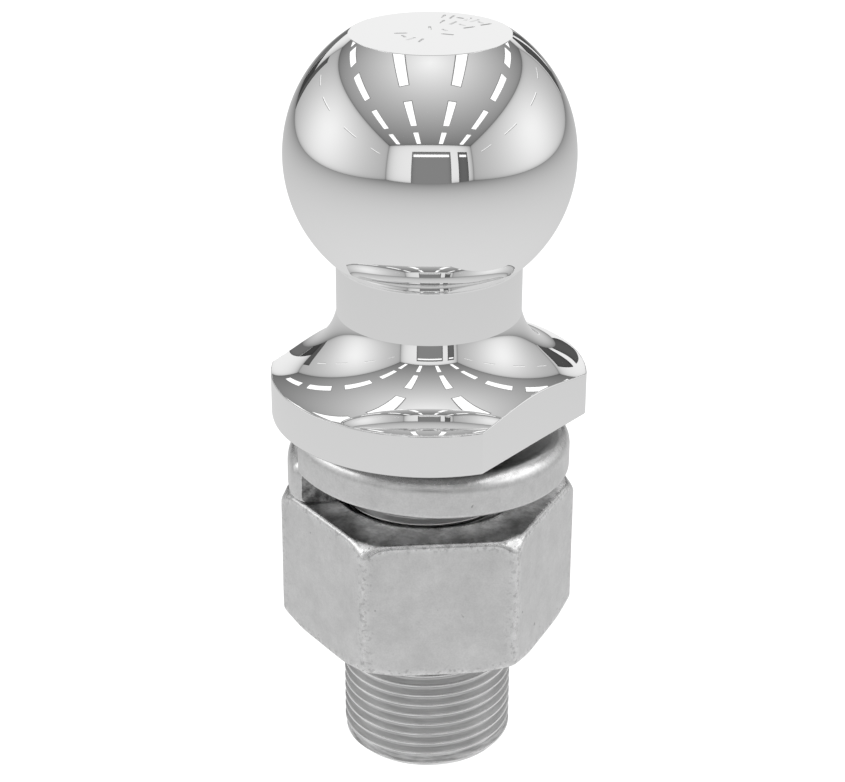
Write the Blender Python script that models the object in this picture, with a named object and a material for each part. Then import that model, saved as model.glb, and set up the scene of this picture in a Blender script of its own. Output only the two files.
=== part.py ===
"""Two-inch trailer hitch ball with its threaded shank, split lock washer and hex nut.

The hitch ball is one forging: ball, neck, flange and threaded shank. The washer and the nut
are separate pieces on the shank. Origin: centre of the shank's lower end, +Z up through the
ball. The flange's two wrench flats face +X and -X. Lengths are in millimetres times MM.
"""

import math

import bmesh
import bpy
from mathutils import Vector

MM = 0.001

# Standard sizes: a 2 inch ball on a 1-1/4 inch shank with 12 threads to the inch.
BALL_DIAMETER = 50.8 * MM
SHANK_DIAMETER = 31.75 * MM
THREAD_PITCH = 25.4 / 12.0 * MM
NUT_ACROSS_FLATS = 47.625 * MM
WASHER_THICKNESS = 7.94 * MM

# Heights, counted up from the shank's lower end.
EXPOSED_THREAD = 25.4 * MM
NUT_HEIGHT = 27.0 * MM
SHANK_LENGTH = 67.8 * MM
FLANGE_RIM_HEIGHT = 7.94 * MM
NECK_FOOT_ABOVE_RIM = 11.4 * MM
BALL_CENTRE_ABOVE_RIM = 40.3 * MM
BALL_TOP_FLAT_ABOVE_CENTRE = 21.3 * MM

# Hitch ball.
NECK_RADIUS = 16.5 * MM
FLANGE_RADIUS = 28.4 * MM
WRENCH_FLAT_WIDTH = 47.6 * MM
FLANGE_GUIDE = ((26.4 * MM, 0.12 * MM), (18.3 * MM, 2.9 * MM))  # radius, height above the rim
EDGE_BREAK = 0.35 * MM
PLAIN_SHANK = 5.0 * MM
SHANK_END_RADIUS = 14.75 * MM
RUNOUT_LENGTH = 2.0 * MM
RUNOUT_RADIUS = 15.2 * MM

# Lock washer, a split ring that is one turn of a left-hand helix.
WASHER_INNER_RADIUS = 16.2 * MM
WASHER_OUTER_RADIUS = 25.85 * MM
WASHER_EDGE_BREAK = 0.9 * MM
WASHER_HIGH_END_DEGREES = 240.5
WASHER_SWEEP_DEGREES = 357.0
WASHER_CUT_SKEW_DEGREES = 8.0

# Hex nut.
NUT_FACE_DEGREES = 13.35
NUT_TOP_CHAMFER_RADIUS = 25.7 * MM
NUT_BOTTOM_CHAMFER_RADIUS = 24.4 * MM
NUT_TOP_CHAMFER_SLOPE = 1.25
NUT_BOTTOM_CHAMFER_SLOPE = 0.5
COUNTERSINK_RADIUS = 17.3 * MM

# Fits.
FACE_GAP = 0.3 * MM
THREAD_CLEARANCE = 0.3 * MM
CREST_CLEARANCE = 0.025 * MM

# Thread form: a 60 degree V with flats of an eighth of the pitch at the crest and a quarter
# at the root. The crest's middle is at THREAD_START above the origin on the +X side.
CREST_FLAT = THREAD_PITCH / 8.0
ROOT_FLAT = THREAD_PITCH / 4.0
FLANK_HEIGHT = (THREAD_PITCH - CREST_FLAT - ROOT_FLAT) / 2.0
THREAD_DEPTH = FLANK_HEIGHT / math.tan(math.radians(30.0))
THREAD_START = 1.47 * MM

# Facets.
THREAD_SEGMENTS = 24
ROUND_SEGMENTS = 48
BALL_RINGS = 18
FLANGE_CURVE_STEPS = 9
OVERLAP = 0.5 * MM
CUTTER_MARGIN = 4.0 * MM

SEAT_Z = SHANK_LENGTH
RIM_Z = SEAT_Z + FLANGE_RIM_HEIGHT
BALL_CENTRE_Z = RIM_Z + BALL_CENTRE_ABOVE_RIM
BALL_TOP_Z = BALL_CENTRE_Z + BALL_TOP_FLAT_ABOVE_CENTRE
NUT_BOTTOM_Z = EXPOSED_THREAD
NUT_TOP_Z = NUT_BOTTOM_Z + NUT_HEIGHT
SHANK_RADIUS = SHANK_DIAMETER / 2.0
CREST_RADIUS = SHANK_RADIUS - CREST_CLEARANCE
ROOT_RADIUS = CREST_RADIUS - THREAD_DEPTH


def clear_scene():
    for old in list(bpy.data.objects):
        bpy.data.objects.remove(old, do_unlink=True)


def metal(name, colour, roughness, metallic=1.0):
    material = bpy.data.materials.new(name)
    material.use_nodes = True
    shader = material.node_tree.nodes["Principled BSDF"]
    shader.inputs["Base Color"].default_value = (*colour, 1.0)
    shader.inputs["Roughness"].default_value = roughness
    shader.inputs["Metallic"].default_value = metallic
    return material


def add_object(name, mesh, material):
    item = bpy.data.objects.new(name, mesh)
    bpy.context.scene.collection.objects.link(item)
    if material is not None:
        mesh.materials.append(material)
    return item


def finish_mesh(name, bm):
    """Turn bm into a mesh with its faces pointing out, shaded smooth with crisp edges."""
    bmesh.ops.recalc_face_normals(bm, faces=bm.faces)
    mesh = bpy.data.meshes.new(name)
    bm.to_mesh(mesh)
    bm.free()
    mesh.shade_smooth()
    mesh.set_sharp_from_angle(angle=math.radians(28.0))
    return mesh


def turned_mesh(name, profile, segments):
    """Spin a profile of (radius, height) points, whose two ends lie on the axis, about Z."""
    bm = bmesh.new()
    rings = []
    for radius, height in profile:
        if radius == 0.0:
            rings.append([bm.verts.new((0.0, 0.0, height))])
            continue
        ring = []
        for step in range(segments):
            turn = 2.0 * math.pi * step / segments
            ring.append(bm.verts.new((radius * math.cos(turn), radius * math.sin(turn), height)))
        rings.append(ring)
    for lower, upper in zip(rings, rings[1:]):
        for step in range(segments):
            after = (step + 1) % segments
            corners = [lower[step % len(lower)], lower[after % len(lower)],
                       upper[after % len(upper)], upper[step % len(upper)]]
            bm.faces.new(list(dict.fromkeys(corners)))
    return finish_mesh(name, bm)


def thread_mesh(name, growth, bottom, top, end_radius, limit):
    """A threaded rod between two heights.

    growth is added to the thread's radii, end_radius is the radius of both end faces, and
    limit(height, radius) trims the thread near its ends.
    """
    marks = [(-CREST_FLAT / 2.0, CREST_RADIUS),
             (CREST_FLAT / 2.0, CREST_RADIUS),
             (CREST_FLAT / 2.0 + FLANK_HEIGHT, ROOT_RADIUS),
             (CREST_FLAT / 2.0 + FLANK_HEIGHT + ROOT_FLAT, ROOT_RADIUS)]
    first_turn = math.floor((bottom - THREAD_START) / THREAD_PITCH) - 2
    last_turn = math.ceil((top - THREAD_START) / THREAD_PITCH) + 2
    bm = bmesh.new()
    columns = []
    for step in range(first_turn * THREAD_SEGMENTS, last_turn * THREAD_SEGMENTS + 1):
        turns = step / THREAD_SEGMENTS
        turn = 2.0 * math.pi * turns
        column = []
        for offset, radius in marks:
            height = THREAD_START + THREAD_PITCH * turns + offset
            radius = limit(height, radius + growth)
            if height <= bottom or height >= top:
                radius = end_radius
                height = min(max(height, bottom), top)
            place = (radius * math.cos(turn), radius * math.sin(turn), height)
            column.append(bm.verts.new(place))
        columns.append(column)
    for here, beyond in zip(columns, columns[1:]):
        for low in range(len(marks) - 1):
            bm.faces.new([here[low], beyond[low], beyond[low + 1], here[low + 1]])
    for step in range(len(columns) - THREAD_SEGMENTS - 1):
        above = step + THREAD_SEGMENTS
        bm.faces.new([columns[step][-1], columns[step + 1][-1],
                      columns[above + 1][0], columns[above][0]])
    bmesh.ops.remove_doubles(bm, verts=bm.verts, dist=0.002 * MM)
    bmesh.ops.dissolve_degenerate(bm, edges=bm.edges, dist=0.001 * MM)
    flat = [face for face in bm.faces
            if all(abs(v.co.z - bottom) < 1e-7 for v in face.verts)
            or all(abs(v.co.z - top) < 1e-7 for v in face.verts)]
    bmesh.ops.delete(bm, geom=flat, context="FACES_KEEP_BOUNDARY")
    loose = [v for v in bm.verts if not v.link_faces]
    bmesh.ops.delete(bm, geom=loose, context="VERTS")
    open_edges = [edge for edge in bm.edges if edge.is_boundary]
    bmesh.ops.holes_fill(bm, edges=open_edges, sides=0)
    return finish_mesh(name, bm)


def hide_helper(item):
    item.hide_render = True
    item.display_type = "WIRE"


def boolean(target, operation, helper):
    hide_helper(helper)
    modifier = target.modifiers.new(helper.name, "BOOLEAN")
    modifier.operation = operation
    modifier.solver = "EXACT"
    modifier.object = helper


def box_mesh(name, low, high):
    bm = bmesh.new()
    bmesh.ops.create_cube(bm, size=1.0)
    for vert in bm.verts:
        vert.co = Vector([low[axis] if vert.co[axis] < 0.0 else high[axis] for axis in range(3)])
    return finish_mesh(name, bm)


def hitch_ball_profile():
    """Radius and height points of the solid of revolution, from the shank up to the top flat."""
    ball_radius = BALL_DIAMETER / 2.0
    profile = [(0.0, SEAT_Z - PLAIN_SHANK),
               (SHANK_RADIUS, SEAT_Z - PLAIN_SHANK),
               (SHANK_RADIUS, SEAT_Z),
               (FLANGE_RADIUS - EDGE_BREAK, SEAT_Z),
               (FLANGE_RADIUS, SEAT_Z + EDGE_BREAK)]
    # The flange's top is a hollow curve that sweeps from the rim up to the neck's foot.
    guide = [(FLANGE_RADIUS, 0.0), *FLANGE_GUIDE, (NECK_RADIUS, NECK_FOOT_ABOVE_RIM)]
    for step in range(FLANGE_CURVE_STEPS + 1):
        share = step / FLANGE_CURVE_STEPS
        weights = ((1.0 - share) ** 3, 3.0 * share * (1.0 - share) ** 2,
                   3.0 * share ** 2 * (1.0 - share), share ** 3)
        radius = sum(weight * place[0] for weight, place in zip(weights, guide))
        height = sum(weight * place[1] for weight, place in zip(weights, guide))
        profile.append((radius, RIM_Z + height))
    under = -math.acos(NECK_RADIUS / ball_radius)
    over = math.asin(BALL_TOP_FLAT_ABOVE_CENTRE / ball_radius)
    for step in range(BALL_RINGS + 1):
        turn = under + (over - under) * step / BALL_RINGS
        profile.append((ball_radius * math.cos(turn), BALL_CENTRE_Z + ball_radius * math.sin(turn)))
    profile.append((0.0, BALL_TOP_Z))
    return profile


def shank_limit(height, radius):
    """The chamfer at the shank's lower end, and the thread's run-out below the flange."""
    chamfered = min(radius, SHANK_END_RADIUS + max(height, 0.0))
    runout_foot = SEAT_Z - PLAIN_SHANK - RUNOUT_LENGTH
    if height <= runout_foot:
        return chamfered
    rise = min((height - runout_foot) / RUNOUT_LENGTH, 1.0)
    lowest = ROOT_RADIUS + (RUNOUT_RADIUS - ROOT_RADIUS) * rise
    highest = CREST_RADIUS + (RUNOUT_RADIUS - CREST_RADIUS) * rise
    return min(max(chamfered, lowest), highest)


def make_hitch_ball():
    chrome = metal("hitch_ball_chrome", (0.80, 0.80, 0.80), 0.06)
    item = add_object("hitch_ball",
                      turned_mesh("hitch_ball", hitch_ball_profile(), ROUND_SEGMENTS), chrome)
    top = SEAT_Z - PLAIN_SHANK + OVERLAP
    shank_mesh = thread_mesh("shank_thread", 0.0, 0.0, top, SHANK_END_RADIUS, shank_limit)
    boolean(item, "UNION", add_object("shank_thread", shank_mesh, None))
    reach = FLANGE_RADIUS + CUTTER_MARGIN
    flat = WRENCH_FLAT_WIDTH / 2.0
    flange_top = RIM_Z + NECK_FOOT_ABOVE_RIM
    for name, near, far in (("right_flat_cutter", flat, reach), ("left_flat_cutter", -reach, -flat)):
        cutter_mesh = box_mesh(name, (near, -reach, SEAT_Z - CUTTER_MARGIN / 2.0),
                               (far, reach, flange_top))
        boolean(item, "DIFFERENCE", add_object(name, cutter_mesh, None))


def washer_section():
    """Corners of the washer's section as (radius, height above its lower face)."""
    low, high, cut = WASHER_INNER_RADIUS, WASHER_OUTER_RADIUS, WASHER_EDGE_BREAK
    inner_cut = cut / 3.0
    tall = WASHER_THICKNESS
    return [(low + inner_cut, 0.0), (high - cut, 0.0), (high, cut), (high, tall - cut),
            (high - cut, tall), (low + inner_cut, tall), (low, tall - inner_cut), (low, inner_cut)]


def make_lock_washer():
    zinc = metal("washer_zinc", (0.55, 0.55, 0.55), 0.35)
    high_end_z = SEAT_Z - FACE_GAP - WASHER_THICKNESS
    low_end_z = NUT_TOP_Z + FACE_GAP
    sweep = math.radians(WASHER_SWEEP_DEGREES)
    section = washer_section()
    width = WASHER_OUTER_RADIUS - WASHER_INNER_RADIUS
    bm = bmesh.new()
    rings = []
    for step in range(ROUND_SEGMENTS + 1):
        part_way = step / ROUND_SEGMENTS
        base_z = high_end_z + (low_end_z - high_end_z) * part_way
        ring = []
        for radius, height in section:
            skew = math.radians(WASHER_CUT_SKEW_DEGREES) * (WASHER_OUTER_RADIUS - radius) / width
            turn = math.radians(WASHER_HIGH_END_DEGREES) + sweep * part_way + skew
            ring.append(bm.verts.new((radius * math.cos(turn), radius * math.sin(turn),
                                      base_z + height)))
        rings.append(ring)
    count = len(section)
    for here, beyond in zip(rings, rings[1:]):
        for corner in range(count):
            after = (corner + 1) % count
            bm.faces.new([here[corner], here[after], beyond[after], beyond[corner]])
    bm.faces.new(rings[0])
    bm.faces.new(rings[-1])
    bmesh.ops.triangulate(bm, faces=bm.faces)
    add_object("lock_washer", finish_mesh("lock_washer", bm), zinc)


def hex_prism_mesh(name, bottom, top):
    bm = bmesh.new()
    corner_radius = NUT_ACROSS_FLATS / 2.0 / math.cos(math.radians(30.0))
    rings = []
    for height in (bottom, top):
        ring = []
        for corner in range(6):
            turn = math.radians(NUT_FACE_DEGREES + 30.0 + 60.0 * corner)
            ring.append(bm.verts.new((corner_radius * math.cos(turn),
                                      corner_radius * math.sin(turn), height)))
        rings.append(ring)
    bm.faces.new(rings[0])
    bm.faces.new(rings[1])
    for corner in range(6):
        after = (corner + 1) % 6
        bm.faces.new([rings[0][corner], rings[0][after], rings[1][after], rings[1][corner]])
    return finish_mesh(name, bm)


def nut_chamfer_profile():
    """A turned blank whose sloped shoulders chamfer the nut's corners, top and bottom."""
    reach = NUT_ACROSS_FLATS / 2.0 + CUTTER_MARGIN * 1.5
    bottom_rise = (reach - NUT_BOTTOM_CHAMFER_RADIUS) * NUT_BOTTOM_CHAMFER_SLOPE
    top_drop = (reach - NUT_TOP_CHAMFER_RADIUS) * NUT_TOP_CHAMFER_SLOPE
    return [(0.0, NUT_BOTTOM_Z),
            (NUT_BOTTOM_CHAMFER_RADIUS, NUT_BOTTOM_Z),
            (reach, NUT_BOTTOM_Z + bottom_rise),
            (reach, NUT_TOP_Z - top_drop),
            (NUT_TOP_CHAMFER_RADIUS, NUT_TOP_Z),
            (0.0, NUT_TOP_Z)]


def countersink_profile(face_z, outward):
    """A cone that opens the nut's bore at one face; outward is +1 at the top, -1 below."""
    foot_radius = ROOT_RADIUS
    depth = COUNTERSINK_RADIUS - foot_radius
    mouth_radius = COUNTERSINK_RADIUS + OVERLAP
    points = [(0.0, face_z - outward * depth),
              (foot_radius, face_z - outward * depth),
              (mouth_radius, face_z + outward * OVERLAP),
              (0.0, face_z + outward * OVERLAP)]
    return points if outward > 0 else points[::-1]


def keep_radius(height, radius):
    return radius


def make_hex_nut():
    zinc = metal("nut_zinc", (0.52, 0.52, 0.52), 0.38)
    item = add_object("hex_nut",
                      turned_mesh("hex_nut", nut_chamfer_profile(), ROUND_SEGMENTS), zinc)
    prism = hex_prism_mesh("nut_hexagon", NUT_BOTTOM_Z - OVERLAP, NUT_TOP_Z + OVERLAP)
    boolean(item, "INTERSECT", add_object("nut_hexagon", prism, None))
    bore_mesh = thread_mesh("nut_thread_cutter", THREAD_CLEARANCE,
                            NUT_BOTTOM_Z - CUTTER_MARGIN, NUT_TOP_Z + CUTTER_MARGIN,
                            ROOT_RADIUS + THREAD_CLEARANCE, keep_radius)
    boolean(item, "DIFFERENCE", add_object("nut_thread_cutter", bore_mesh, None))
    for name, face_z, outward in (("upper_countersink", NUT_TOP_Z, 1.0),
                                  ("lower_countersink", NUT_BOTTOM_Z, -1.0)):
        cone = turned_mesh(name, countersink_profile(face_z, outward), ROUND_SEGMENTS)
        boolean(item, "DIFFERENCE", add_object(name, cone, None))


def main():
    clear_scene()
    make_hitch_ball()
    make_lock_washer()
    make_hex_nut()


main()
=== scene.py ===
import math

import bpy
import numpy as np
from mathutils import Matrix, Vector
from mathutils.geometry import delaunay_2d_cdt


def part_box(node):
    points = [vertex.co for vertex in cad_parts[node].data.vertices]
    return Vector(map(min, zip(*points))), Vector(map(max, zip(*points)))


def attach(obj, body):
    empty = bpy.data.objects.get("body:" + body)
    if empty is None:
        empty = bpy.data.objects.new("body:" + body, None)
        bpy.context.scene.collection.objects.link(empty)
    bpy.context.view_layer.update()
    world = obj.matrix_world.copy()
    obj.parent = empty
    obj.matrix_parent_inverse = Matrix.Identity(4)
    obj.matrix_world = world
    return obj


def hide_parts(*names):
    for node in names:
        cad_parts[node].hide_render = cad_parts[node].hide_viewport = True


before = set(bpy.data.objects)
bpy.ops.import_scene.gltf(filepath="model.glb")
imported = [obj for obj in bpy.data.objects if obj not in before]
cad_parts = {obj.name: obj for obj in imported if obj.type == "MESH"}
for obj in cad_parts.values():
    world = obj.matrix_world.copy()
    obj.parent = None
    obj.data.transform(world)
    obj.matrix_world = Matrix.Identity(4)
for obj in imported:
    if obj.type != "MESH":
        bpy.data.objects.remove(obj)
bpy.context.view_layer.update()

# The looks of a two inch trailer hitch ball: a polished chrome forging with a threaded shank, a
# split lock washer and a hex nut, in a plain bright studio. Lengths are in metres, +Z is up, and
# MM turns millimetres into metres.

MM = 0.001
TURN = 2.0 * math.pi

FORGING_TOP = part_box("hitch_ball")[1].z
WASHER_LOW, WASHER_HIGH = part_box("lock_washer")
NUT_LOW, NUT_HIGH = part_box("hex_nut")

# Forging: ball, neck and flange.
BALL_RADIUS = 25.4 * MM
TOP_FLAT_RISE = 21.3 * MM
BALL_Z = FORGING_TOP - TOP_FLAT_RISE
NECK_RADIUS = 16.5 * MM
FLANGE_RADIUS = 28.4 * MM
FLAT_X = 23.8 * MM
RIM_Z = BALL_Z - 40.3 * MM
SEAT_Z = RIM_Z - 7.94 * MM
FLANGE_RISE = 11.4 * MM
FLANGE_GUIDE = ((FLANGE_RADIUS, 0.0), (26.4 * MM, 0.12 * MM), (18.3 * MM, 2.9 * MM),
                (NECK_RADIUS, FLANGE_RISE))
FLAT_CORNER = 0.4 * MM
RIM_EDGE = 0.22 * MM
SEAT_EDGE = 0.35 * MM
NECK_FILLET = 0.6 * MM
TOP_EDGE = 0.12 * MM

# Shank and thread.
SHANK_RADIUS = 15.875 * MM
SHANK_FILLET = 0.4 * MM
PLAIN_SHANK = 5.0 * MM
RUNOUT_LENGTH = 2.0 * MM
RUNOUT_RADIUS = 15.2 * MM
PITCH = 25.4 / 12.0 * MM
THREAD_START = 1.47 * MM
CREST_RADIUS = 15.85 * MM
ROOT_RADIUS = 14.704 * MM
SHANK_END_RADIUS = 14.7 * MM
CREST_HALF = 1.0 / 16.0         # half widths, in pitches
ROOT_HALF = 1.0 / 8.0
THREAD_SOFTNESS = 0.1
# Rows of points across one thread, in pitches from its crest.
THREAD_ROWS = (-0.5, -0.4, -0.35, -0.2, -0.09, -0.045, 0.045, 0.09, 0.2, 0.35, 0.4, 0.5)

# Nut.
NUT_FACE = math.radians(13.35)
NUT_APOTHEM = 23.8125 * MM
NUT_CORNER = 1.7 * MM
NUT_EDGE = 0.8 * MM
TOP_CHAMFER_RADIUS, TOP_CHAMFER_SLOPE = 25.7 * MM, 1.25
BOTTOM_CHAMFER_RADIUS, BOTTOM_CHAMFER_SLOPE = 24.4 * MM, 0.5
COUNTERSINK_RADIUS = 17.3 * MM
THREAD_CLEARANCE = 0.3 * MM
NUT_WAVE = 0.09 * MM

# Washer.
WASHER_INNER = 16.2 * MM
WASHER_OUTER = 25.85 * MM
WASHER_THICKNESS = 7.94 * MM
WASHER_HIGH_END = math.radians(240.5)
WASHER_SWEEP = math.radians(357.0)
WASHER_SKEW = math.radians(8.0)
# Corners of its section: outer low, outer high, inner high, inner low.
WASHER_CORNERS = (1.2 * MM, 3.0 * MM, 0.6 * MM, 0.5 * MM)
WASHER_END_ROUND = 1.6 * MM
WASHER_WAVE = 0.05 * MM

# Marks stamped in the ball's flat top: (arc radius, first angle, last angle, count).
STAMP_ARCS = ((10.9 * MM, 68.0, 116.0, 7), (7.4 * MM, 66.0, 112.0, 4),
              (5.0 * MM, 222.0, 290.0, 4), (3.0 * MM, 20.0, 130.0, 3))
STAMP_WIDTH = 0.42 * MM
STAMP_LONG, STAMP_SHORT = 1.8 * MM, 1.0 * MM
MARK_DEPTH = 0.16 * MM
MARK_WALL = 0.12 * MM
MARK_ROUND = 5                  # steps round each end of a mark

# The zinc paints CUT_FACE surfaces dark, partly as grime and partly as painted shade.
CUT_FACE = 2.0                  # edge wear beyond 1 marks a raw cut face
WELD = 1e-7                     # points this close, in metres, are one point
NUDGE = 1e-5                    # step for slopes, in a patch's own u and v or in millimetres
CREASE = 0.8                    # cosine beyond which a smooth normal gives way to the face's


# ---------------------------------------------------------------- mesh building

CORNER_PULL = 0.75              # how far a rounded corner reaches towards the sharp one


def polar(radius, turn, height):
    """Points at a distance from the part's axis, an angle round it and a height."""
    return np.stack([radius * np.cos(turn), radius * np.sin(turn),
                     height + 0.0 * turn + 0.0 * radius], axis=-1)


def even(count):
    """Evenly spaced numbers from 0 to 1."""
    return np.linspace(0.0, 1.0, count)


def unit(vectors, spare):
    """The vectors at length 1, or spare where they have no length."""
    length = np.linalg.norm(vectors, axis=-1, keepdims=True)
    return np.where(length > 1e-14, vectors / np.maximum(length, 1e-14), spare)


def grid_faces(shape):
    """The quads of a grid of points, as rows of four point numbers."""
    index = np.arange(shape[0] * shape[1]).reshape(shape)
    corners = [index[:-1, :-1], index[1:, :-1], index[1:, 1:], index[:-1, 1:]]
    return np.stack(corners, axis=-1).reshape(-1, 4)


def patch(surface, us, vs, towards, loop=False, shape=None, wear=None):
    """A grid of points on surface(u, v), with exact normals and a wear value at each point.

    towards(points) is a direction on the outer side. loop says that u closes on itself. shape
    is the surface that the normals are taken from, where it isn't the same as surface.
    """
    us, vs = np.asarray(us, float), np.asarray(vs, float)
    u, v = np.meshgrid(us, vs, indexing="ij")
    points = surface(u, v)
    shape = shape or surface
    low_u, high_u = (u - NUDGE, u + NUDGE) if loop else (np.maximum(u - NUDGE, us.min()),
                                                         np.minimum(u + NUDGE, us.max()))
    low_v, high_v = np.maximum(v - NUDGE, vs.min()), np.minimum(v + NUDGE, vs.max())
    along_u = unit(shape(high_u, v) - shape(low_u, v), 0.0)
    along_v = unit(shape(u, high_v) - shape(u, low_v), 0.0)
    out = unit(towards(points), 0.0)
    normals = unit(np.cross(along_u, along_v), out)
    flip = (normals * out).sum() < 0.0
    if flip:
        normals = -normals
    worn = np.zeros(u.shape) if wear is None else wear(u, v) + 0.0 * u
    quads = grid_faces(u.shape)
    if flip:
        quads = quads[:, ::-1]
    return points.reshape(-1, 3), normals.reshape(-1, 3), worn.ravel(), quads


def outward(points):
    return points * (1.0, 1.0, 0.0)


def inward(points):
    return -outward(points)


def upward(points):
    return np.zeros_like(points) + (0.0, 0.0, 1.0)


def downward(points):
    return -upward(points)


def crease_safe(mesh, normals, sizes):
    """Corner normals, with the face's own normal wherever a crease crosses the face."""
    own = np.zeros(3 * len(sizes))
    mesh.polygon_normals.foreach_get("vector", own)
    own = np.repeat(own.reshape(-1, 3), sizes, axis=0)
    agree = (own * normals).sum(axis=1, keepdims=True)
    return np.where(agree < CREASE, own, normals)


def add_object(name, data):
    item = bpy.data.objects.new(name, data)
    bpy.context.scene.collection.objects.link(item)
    return item


def build_piece(name, patches, material):
    """Weld the patches into one closed mesh object that keeps their exact normals."""
    starts = np.cumsum([0] + [len(part[0]) for part in patches])
    points, normals, worn = (np.concatenate([part[kind] for part in patches]) for kind in range(3))
    quads = np.concatenate([part[3] + start for part, start in zip(patches, starts)])
    keys = np.round(points / WELD).astype(np.int64)
    first, same = np.unique(keys, axis=0, return_index=True, return_inverse=True)[1:]
    same = same.ravel()
    welded = same[quads]
    keep = welded != np.roll(welded, -1, axis=1)
    real = keep.sum(axis=1) >= 3
    keep, welded, quads = keep[real], welded[real], quads[real]
    sizes = keep.sum(axis=1)
    corners = welded[keep]
    mesh = bpy.data.meshes.new(name)
    mesh.vertices.add(len(first))
    mesh.vertices.foreach_set("co", points[first].ravel())
    mesh.loops.add(len(corners))
    mesh.loops.foreach_set("vertex_index", corners)
    mesh.polygons.add(len(sizes))
    mesh.polygons.foreach_set("loop_start", np.concatenate([[0], np.cumsum(sizes)[:-1]]))
    mesh.update(calc_edges=True)
    edge_wear = np.zeros(len(first))
    np.maximum.at(edge_wear, same, worn)
    layer = mesh.attributes.new("edge_wear", "FLOAT", "POINT")
    layer.data.foreach_set("value", edge_wear)
    mesh.shade_smooth()
    mesh.normals_split_custom_set(crease_safe(mesh, normals[quads[keep]], sizes))
    mesh.materials.append(material)
    return add_object(name, mesh)


def bend(start, corner, end, t):
    """A rounded corner: the curve from start to end that leaves along the lines to corner."""
    a, b, c = (1.0 - t) ** 2, 2.0 * t * (1.0 - t) * CORNER_PULL, t ** 2
    total = a + b + c
    return [(a * p + b * q + c * r) / total for p, q, r in zip(start, corner, end)]


def smooth_max(a, b, softness):
    """The larger of two values, with the kink where they cross smoothed out."""
    return 0.5 * (a + b + np.sqrt((a - b) ** 2 + softness ** 2))


def ripple(points, seed, size):
    """Gentle unevenness between 0 and 1, a sum of six waves with bumps about size across."""
    chance = np.random.RandomState(seed)
    total = 0.0
    for step in range(6):
        direction = chance.normal(size=3)
        direction /= np.linalg.norm(direction)
        wave = TURN / (size * (1.0 + 0.45 * step))
        total = total + np.sin(points @ direction * wave + chance.uniform(0.0, TURN))
    return np.clip(0.5 + total / 8.0, 0.0, 1.0)


def pressed_in(points, deepest, start, seed, size):
    """Slight hollows in a forged side, always inward, that fade in beyond the radius start."""
    reach = np.linalg.norm(points[..., :2], axis=-1, keepdims=True)
    depth = deepest * ripple(points, seed, size)[..., None] * np.clip(
        (reach - start) / (4.0 * MM), 0.0, 1.0)
    return points * (1.0 - depth / np.maximum(reach, MM) * (1.0, 1.0, 0.0))


# ---------------------------------------------------------------- thread

def thread_radius(turn, height, growth):
    """Radius of the right-hand thread at an angle and a height."""
    phase = (height - THREAD_START) / PITCH - turn / TURN
    away = np.abs(phase - np.round(phase))
    share = (0.5 - ROOT_HALF - away) / (0.5 - ROOT_HALF - CREST_HALF)
    share = 1.0 - smooth_max(1.0 - smooth_max(share, 0.0, THREAD_SOFTNESS), 0.0, THREAD_SOFTNESS)
    return ROOT_RADIUS + growth + (CREST_RADIUS - ROOT_RADIUS) * share


def shank_radius(turn, height):
    """The thread with its end chamfer and its run-out into the plain shank."""
    radius = np.minimum(thread_radius(turn, height, 0.0),
                        SHANK_END_RADIUS + np.maximum(height, 0.0))
    foot = SEAT_Z - PLAIN_SHANK - RUNOUT_LENGTH
    rise = np.clip((height - foot) / RUNOUT_LENGTH, 0.0, 1.0)
    return radius + (RUNOUT_RADIUS - radius) * rise ** 2


def nut_bore_radius(turn, height):
    """The nut's thread, opened by a countersink at each face."""
    radius = thread_radius(turn, height, THREAD_CLEARANCE)
    depth = np.minimum(NUT_HIGH.z - height, height - NUT_LOW.z)
    return np.maximum(radius, COUNTERSINK_RADIUS - np.maximum(depth, 0.0))


def helix_patch(columns, bottom, top, radius, ends, towards, warp=np.asarray, wear=None):
    """A threaded wall between two heights. ends are its radii at the bottom and the top."""
    first = math.floor((bottom - THREAD_START) / PITCH) - 2
    last = math.ceil((top - THREAD_START) / PITCH) + 2
    turns = np.concatenate([columns[:-1] + TURN * lap for lap in range(first, last)])

    def height_of(turn, row):
        return THREAD_START + PITCH * (turn / TURN + row)

    def free(turn, row):
        height = height_of(turn, row)
        return warp(polar(radius(turn, height), turn, height))

    def cut(turn, row):
        height = height_of(turn, row)
        reach = radius(turn, height)
        reach = np.where(height <= bottom, ends[0], np.where(height >= top, ends[1], reach))
        return warp(polar(reach, turn, np.clip(height, bottom, top)))

    return patch(cut, turns, THREAD_ROWS, towards, loop=True, shape=free, wear=wear)


# ---------------------------------------------------------------- hitch ball

def circle_corner(flat, radius, corner):
    """Where a rounded corner between a flat and a circle begins and ends, and its centre."""
    x = flat - corner
    y = math.sqrt((radius - corner) ** 2 - x ** 2)
    return math.atan2(y, flat), math.atan2(y, x), (x, y)


CORNER_START, CORNER_END, CORNER_CENTRE = circle_corner(FLAT_X, FLANGE_RADIUS, FLAT_CORNER)


def folded(turn):
    """The same place in the first quarter, since both flats are mirror images."""
    turn = np.mod(turn + math.pi / 2.0, math.pi) - math.pi / 2.0
    return np.abs(turn)


def flat_outline(turn):
    return FLAT_X / np.cos(folded(turn))


def corner_outline(turn):
    x, y = CORNER_CENTRE
    spot = x * np.cos(folded(turn)) + y * np.sin(folded(turn))
    return spot + np.sqrt(np.maximum(spot ** 2 - x * x - y * y + FLAT_CORNER ** 2, 0.0))


def round_outline(turn):
    return FLANGE_RADIUS + 0.0 * turn


def flange_sectors():
    """(outline, angles) all the way round the flange: flats, their corners and the round rim."""
    start, end, half = CORNER_START, CORNER_END, math.pi
    sectors = []
    for side in (0.0, half):
        sectors.append((flat_outline, np.linspace(side - start, side + start, 29)))
        sectors.append((corner_outline, np.linspace(side + start, side + end, 4)))
        sectors.append((round_outline, np.linspace(side + end, side + half - end, 45)))
        sectors.append((corner_outline, np.linspace(side + half - end, side + half - start, 4)))
    return sectors


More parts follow.
